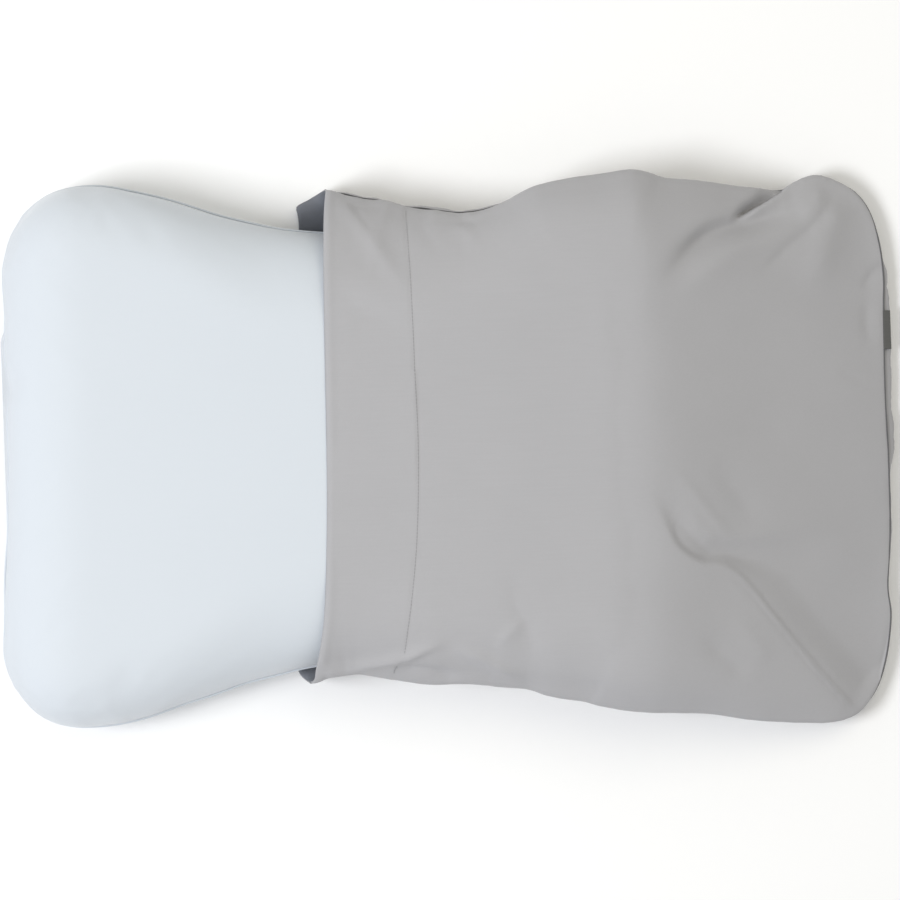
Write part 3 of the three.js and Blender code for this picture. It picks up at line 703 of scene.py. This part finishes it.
def strip_to(grid, line, columns):
    """The part of a grid from just inside its mouth edge to a line, as a grid of its own."""
    made = []
    for j in range(grid.shape[1]):
        d, _ = nearest(line, grid[:, j, :2])
        inside = (d > 0) & (grid[:, j, 0] < 90)
        last = int(np.nonzero(inside)[0].max()) if inside.any() else 1
        edge = grid[:1, j] * .8 + grid[1:2, j] * .2
        made.append(respaced(np.vstack([edge, grid[1:max(last, 3) + 1, j]]), np.linspace(0, 1, columns)))
    return np.stack(made, 1)


def on_grid(grid, line, up):
    """A line seen from above, laid on a grid: its points and the way out of the cloth at each."""
    n = normals_of(grid, up).reshape(-1, 3)
    flat = grid.reshape(-1, 3)
    points, out = [], []
    for p in line:
        d = ((flat[:, :2] - p) ** 2).sum(1)
        near = np.argpartition(d, 4)[:4]
        w = 1 / (d[near] + .05)
        points.append([*p, (flat[near, 2] * w).sum() / w.sum()])
        out.append(n[near[0]])
    return np.array(points), np.array(out)


def case_panels():
    """Both panels' outsides, clear of the pillow and joined at the sewn edge."""
    top, flat = top_grid()
    hem_side, _ = nearest(HEM, flat)
    lip, _ = nearest(MOUTH_UP[::4], flat)
    hem_gap = LIP_GAP + (HEM_GAP - LIP_GAP) * smooth((np.abs(lip) - 1.5) / 2)
    gap = np.where((hem_side > 0) & (flat[:, 0] < 80), hem_gap, CASE_GAP)
    top = sewn(pushed_out(top, pillow_tree, gap), flat.reshape(*top.shape[:2], 2), 1)
    under, under_plan = under_grid()
    under = sewn(pushed_out(under, pillow_tree, UNDER_GAP), under_plan, -1)
    under[..., 2] = np.maximum(under[..., 2], 0)
    return top, under


def upper_stitching():
    """The hem's row of stitches and the short row below the fold that crosses it."""
    rows = [curve(HEM_LINE[2:], 240)[1:-3], curve([(18.5, -191), (19.5, -187.5), (21.5, -184)], 12)]
    made = [stitches(*on_grid(top, row, True), **STITCH) for row in rows]
    return add_mesh("case_upper_stitching", *gathered(made))


def lower_stitching():
    row = curve([(x - LOWER_HEM_SHIFT, y) for x, y in HEM_LINE[1:-1]], 240)[10:-10]
    points, faces = stitches(*on_grid(under, row, False), **STITCH)
    points[:, 2] = np.maximum(points[:, 2], 0)
    return add_mesh("case_lower_stitching", points, faces)


def edge_seam():
    """The line of sewing round three sides. It stands out behind the waist, where it shows from above."""
    flat = np.vstack([FRONT[:-1], END[:-1], BACK[::-1]])[::2]
    line, way, seen = seam_at(flat)
    # Where the seam shows from above, the bar is pushed out and thickened so that its near-black colour draws
    # the shaded groove between the panels as a dark line: painted shade.
    behind = seen * (flat[:, 0] < 300)
    line[:, :2] += way * (.6 * seen + .8 * behind * (1 + .3 * lumps(flat, 10, 51)) - .5)[:, None]
    line[:, 2] += .4 * seen
    return add_mesh("case_edge_seam", *tube(line, .7 + .35 * behind))


pillow_tree = tree_of([pillow_cover])
top, under = case_panels()
case_top = cloth_solid("case_upper_panel", top, CASE_CLOTH, True)
case_under = cloth_solid("case_lower_panel", under, CASE_CLOTH, False)
hem_top = cloth_solid("case_upper_hem", strip_to(top, HEM, 24), HEM_CLOTH, True, HEM_INSET)
lower_hem = strip_to(under, HEM - [LOWER_HEM_SHIFT, 0], 24)
hem_under = cloth_solid("case_lower_hem", lower_hem, HEM_CLOTH, False, HEM_INSET)
stitching_top = upper_stitching()
stitching_under = lower_stitching()
case_seam = edge_seam()


def make_tab():
    """A folded loop of webbing that comes out of the end seam."""
    length, depth, thick = 33.0, 5.6, .6
    half = []
    for t in np.linspace(0, 1, 5):
        half.append((-.8 + (depth - .2) * t, .62))
    bend = [(depth - 1 + .62 * math.sin(a), .62 * math.cos(a)) for a in np.linspace(0, math.pi, 7)[1:-1]]
    path = np.array(half + bend + [(x, -z) for x, z in half[::-1]])
    n = np.stack([np.gradient(path[:, 1]), -np.gradient(path[:, 0])], 1)
    n /= np.linalg.norm(n, axis=1, keepdims=True)
    loop = np.vstack([path - n * thick / 2, (path + n * thick / 2)[::-1]])
    across = np.linspace(67.5, 67.5 + length, 34)
    ridge = .06 * np.sin(across * 2 * math.pi / 2.1)
    points = np.stack([np.stack([446.2 + loop[:, 0], np.full(len(loop), y), 15.2 + loop[:, 1] * (1 + r)], 1)
                       for y, r in zip(across, ridge)])
    points[..., 2] -= .12 * np.maximum(points[..., 0] - 446, 0)
    count = len(loop)
    index = np.arange(points.size // 3).reshape(len(across), count)
    closed = np.concatenate([index, index[:, :1]], 1)
    faces = quads(closed) + [index[0].tolist(), index[-1, ::-1].tolist()]
    return add_mesh("case_end_tab", points.reshape(-1, 3), faces)


case_tab = make_tab()

# ---------------------------------------------------------------- the zip on the pillow's bare end

def from_zip(points):
    points = np.asarray(points, float)
    return ZIP_ORIGIN + points[..., :1] * ZIP_ALONG + points[..., 1:2] * ZIP_UP + points[..., 2:] * ZIP_OUT


def zip_tape(name, sign):
    """One tape: it lies on the pillow's end and rises to its coil."""
    along = np.linspace(-96, 96, 97)
    across = np.array([.6, 1.4, 2.4, 3.4, 4.4, 5.6, 7.0, 8.6])
    level = np.array([1.9, 1.9, 1.9, 1.75, 1.4, 1.05, .85, .75])
    grid = np.stack([np.stack([np.full(8, a), sign * across, level], 1) for a in along])
    return cloth_solid(name, from_zip(grid), .45, sign < 0)


def zip_coil(name, sign):
    coil_turns, coil_length, wire = 146, 183.0, .22
    turns = np.linspace(0, coil_turns, coil_turns * 10)
    angle = turns * 2 * math.pi
    across, level = sign * (1.55 + .95 * np.cos(angle)), 2.95 + .52 * np.sin(angle)
    line = np.stack([turns * coil_length / coil_turns - coil_length / 2, across, level], 1)
    return add_mesh(name, *tube(from_zip(line), wire, 5))


def zip_threads(name, sign):
    """The row of stitches that holds a tape."""
    along = np.linspace(-95, 95, 200)
    line = from_zip(np.stack([along, np.full(200, sign * 6.6), np.full(200, .92)], 1))
    out = np.broadcast_to(ZIP_OUT, line.shape)
    return add_mesh(name, *stitches(line, out, **ZIP_STITCH))


tape_upper, tape_lower = zip_tape("zip_tape_high", 1), zip_tape("zip_tape_low", -1)
coil_upper, coil_lower = zip_coil("zip_coil_high", 1), zip_coil("zip_coil_low", -1)
thread_upper, thread_lower = zip_threads("zip_thread_high", 1), zip_threads("zip_thread_low", -1)

# ---------------------------------------------------------------- materials

def material(name, colour, roughness, sheen=0.0, specular=.3, metallic=0.0):
    made = bpy.data.materials.new(name)
    made.use_nodes = True
    shader = made.node_tree.nodes["Principled BSDF"]
    shader.inputs["Base Color"].default_value = (*colour, 1)
    shader.inputs["Roughness"].default_value = roughness
    shader.inputs["Sheen Weight"].default_value = sheen
    shader.inputs["Sheen Roughness"].default_value = .5
    shader.inputs["Specular IOR Level"].default_value = specular
    shader.inputs["Metallic"].default_value = metallic
    return made, made.node_tree, shader


def node(tree, kind, **inputs):
    made = tree.nodes.new(kind)
    for key, value in inputs.items():
        made.inputs[key.replace("_", " ")].default_value = value
    return made


def math_node(tree, operation, a, b=None):
    made = tree.nodes.new("ShaderNodeMath")
    made.operation = operation
    for k, value in enumerate((a, b)):
        if value is None:
            continue
        if isinstance(value, (int, float)):
            made.inputs[k].default_value = value
        else:
            tree.links.new(value, made.inputs[k])
    return made.outputs[0]


def noise(tree, coordinates, scale, detail=2.0, roughness=.5):
    made = node(tree, "ShaderNodeTexNoise", Scale=scale, Detail=detail, Roughness=roughness)
    tree.links.new(coordinates, made.inputs["Vector"])
    return made.outputs["Fac"]


def shaded(tree, shader, colour, shade):
    """Gives the shader the colour times the shade."""
    tint = tree.nodes.new("ShaderNodeVectorMath")
    tint.operation = "SCALE"
    tint.inputs[0].default_value = colour
    tree.links.new(shade, tint.inputs["Scale"])
    tree.links.new(tint.outputs[0], shader.inputs["Base Color"])


def cloth_material(name, colour, pitch, sheen, variation=.03, mottle=.05, weave=.35, wrinkle=.25):
    """A woven cloth: crossing threads at this pitch in millimetres, uneven colour and small wrinkles."""
    made, tree, shader = material(name, colour, .9, sheen, .2)
    place = tree.nodes.new("ShaderNodeTexCoord").outputs["Object"]
    parts = tree.nodes.new("ShaderNodeSeparateXYZ")
    tree.links.new(place, parts.inputs[0])
    turn = 2 * math.pi / (pitch * MM)
    stray = math_node(tree, "MULTIPLY", noise(tree, place, 160.0, 1.0), 2.6 * pitch * MM)
    slant = math_node(tree, "MULTIPLY", parts.outputs["Z"], .6)
    across = math_node(tree, "ADD", math_node(tree, "ADD", parts.outputs["X"], slant), stray)
    along = math_node(tree, "SUBTRACT", math_node(tree, "SUBTRACT", parts.outputs["Y"], slant), stray)
    warp = math_node(tree, "SINE", math_node(tree, "MULTIPLY", across, turn))
    weft = math_node(tree, "SINE", math_node(tree, "MULTIPLY", along, turn))
    threads = math_node(tree, "MULTIPLY", warp, weft)
    broad = noise(tree, place, 9.0, 2.0)
    fine = noise(tree, place, 700.0, 2.0, .6)
    slub = node(tree, "ShaderNodeMapping", Scale=(30.0, 900.0, 900.0))
    tree.links.new(place, slub.inputs["Vector"])
    streak = noise(tree, slub.outputs[0], 1.0, 1.0)
    shade = math_node(tree, "MULTIPLY", threads, mottle * .4)
    for source, amount in ((broad, variation * 2), (fine, mottle), (streak, mottle)):
        part = math_node(tree, "MULTIPLY", math_node(tree, "SUBTRACT", source, .5), amount)
        shade = math_node(tree, "ADD", shade, part)
    shaded(tree, shader, colour, math_node(tree, "ADD", shade, 1.0))
    small = noise(tree, place, 1 / (9 * MM), 3.0, .55)
    first = node(tree, "ShaderNodeBump", Strength=wrinkle, Distance=.0006)
    tree.links.new(small, first.inputs["Height"])
    second = node(tree, "ShaderNodeBump", Strength=weave, Distance=.0001)
    tree.links.new(threads, second.inputs["Height"])
    tree.links.new(first.outputs[0], second.inputs["Normal"])
    tree.links.new(second.outputs[0], shader.inputs["Normal"])
    return made


def plain_material(name, colour, roughness, grain, depth, variation, specular=.4, metallic=0.0):
    """An even surface with a fine grain."""
    made, tree, shader = material(name, colour, roughness, 0, specular, metallic)
    place = tree.nodes.new("ShaderNodeTexCoord").outputs["Object"]
    grains = noise(tree, place, grain, 3.0, .6)
    shade = math_node(tree, "MULTIPLY", math_node(tree, "SUBTRACT", grains, .5), variation * 2)
    shaded(tree, shader, colour, math_node(tree, "ADD", shade, 1.0))
    bump = node(tree, "ShaderNodeBump", Strength=.5, Distance=depth)
    tree.links.new(grains, bump.inputs["Height"])
    tree.links.new(bump.outputs[0], shader.inputs["Normal"])
    return made


grey_cotton = cloth_material("grey cotton", (.420, .417, .430), .42, .12, mottle=.04)
white_knit = cloth_material("white knit", (.62, .66, .705), .7, .35, .008, .012, .3, .08)
liner_cloth = cloth_material("liner cloth", (.78, .77, .74), .6, .1)
thread_grey = cloth_material("grey thread", (.36, .36, .37), .3, .1, variation=.02, mottle=.1, wrinkle=0)
# The lower hem's inside, seen in the mouth, gets a near-black grey: painted shade of the case's shadowed
# inside, where the cloth is the same grey cotton.
lower_hem_painted_shade = cloth_material("lower hem painted shade", (.19, .20, .225), .42, .1, mottle=.04)
# The edge seam is near black: painted shade of the groove between the two panels, where the cloth is the same
# grey cotton.
seam_painted_shade = cloth_material("grey seam painted shade", (.13, .13, .135), .4, .1, variation=.02, mottle=.1, wrinkle=0)
webbing = cloth_material("dark webbing", (.105, .105, .10), 1.1, .2, mottle=.15, weave=.8, wrinkle=0)
tape_cloth = cloth_material("zip tape", (.70, .73, .77), .5, .1, variation=.01, mottle=.05, wrinkle=0)
foam = plain_material("foam", (.83, .78, .60), .95, 900.0, .0008, .08)
nylon = plain_material("zip nylon", (.78, .79, .80), .4, 400.0, .00005, .03, specular=.5)
metal = plain_material("zip metal", (.62, .63, .65), .3, 600.0, .00003, .05, metallic=1.0)

# ---------------------------------------------------------------- how the pieces go together

def put(obj, look, body, replaced=()):
    obj.data.materials.clear()
    obj.data.materials.append(look)
    if replaced:
        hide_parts(*replaced)
    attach(obj, body)


put(pillow_cover, white_knit, "pillow", ["cover_top", "cover_bottom"])
put(pillow_seam, white_knit, "pillow", ["cover_seam"])
put(pillow_liner, liner_cloth, "pillow", ["liner_top", "liner_bottom"])
put(foam_core, foam, "pillow", ["foam_core"])
for obj, look, slot, nodes in [
    (case_top, grey_cotton, "grey_cotton", ["case_top_panel"]),
    (case_under, grey_cotton, "grey_cotton", ["case_bottom_panel"]),
    (hem_top, grey_cotton, "grey_cotton", ["case_hem_top"]),
    # the lower hem gets painted shade in place of the grey cotton
    (hem_under, lower_hem_painted_shade, "grey_cotton", ["case_hem_bottom"]),
    (stitching_top, thread_grey, "grey_thread", ["hem_stitching_top"]),
    (stitching_under, thread_grey, "grey_thread", ["hem_stitching_bottom"]),
    # the edge seam gets painted shade in place of the grey cotton
    (case_seam, seam_painted_shade, "grey_cotton", ["case_seam"]),
    (case_tab, webbing, "dark_webbing", ["seam_tab"]),
]:
    put(obj, look, "pillowcase", nodes)
    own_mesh(obj)
put(tape_upper, tape_cloth, "pillow", ["zipper_tape_upper"])
put(tape_lower, tape_cloth, "pillow", ["zipper_tape_lower"])
put(coil_upper, nylon, "pillow", ["zipper_coil_upper"])
put(coil_lower, nylon, "pillow", ["zipper_coil_lower"])
put(thread_upper, white_knit, "pillow")
put(thread_lower, white_knit, "pillow")
for name in [
    "zipper_slider", "zipper_pull", "zipper_top_stop_upper", "zipper_top_stop_lower", "zipper_bottom_stop",
]:
    cad = next(o for o in scene.objects if o.get("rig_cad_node") == name)
    for material_slot in cad.material_slots:
        material_slot.material = metal

# ---------------------------------------------------------------- floor, lights and camera

bpy.ops.mesh.primitive_plane_add(size=12, location=(.07, 0, -.0005))
floor = bpy.context.object
floor.name = "floor"
floor_look, _, _ = material("floor", (.93, .93, .93), .9, 0, .1)
floor.data.materials.append(floor_look)


def area_light(name, place, target, size, energy, colour):
    light = bpy.data.lights.new(name, "AREA")
    light.shape = "DISK"
    light.size = size
    light.energy = energy
    light.color = colour
    made = bpy.data.objects.new(name, light)
    scene.collection.objects.link(made)
    made.location = place
    made.rotation_euler = (Vector(target) - Vector(place)).to_track_quat("-Z", "Y").to_euler()


area_light("key", (-1.75, -.35, 2.6), (.1, 0, 0), 1.3, 61, (.96, .975, 1))
area_light("fill", (1.1, 1.2, 2.8), (.1, 0, 0), 2.2, 19, (1, .93, .72))
world = bpy.data.worlds.new("studio")
scene.world = world
world.use_nodes = True
world.node_tree.nodes["Background"].inputs["Color"].default_value = (.99, .995, 1, 1)
world.node_tree.nodes["Background"].inputs["Strength"].default_value = .54

camera_data = bpy.data.cameras.new("camera")
camera = bpy.data.objects.new("camera", camera_data)
scene.collection.objects.link(camera)
camera.location = (.0725, -.0051, 4.0)
camera.rotation_euler = (0, 0, math.radians(-2.05))
SENSOR, FRAME_BELOW, FRAME_WIDTH = 36, 3.95, .7605  # the picture is FRAME_WIDTH metres wide at FRAME_BELOW
camera_data.sensor_width = SENSOR
camera_data.lens = SENSOR * FRAME_BELOW / FRAME_WIDTH
scene.camera = camera
scene.view_settings.view_transform = "Standard"
scene.view_settings.look = "None"
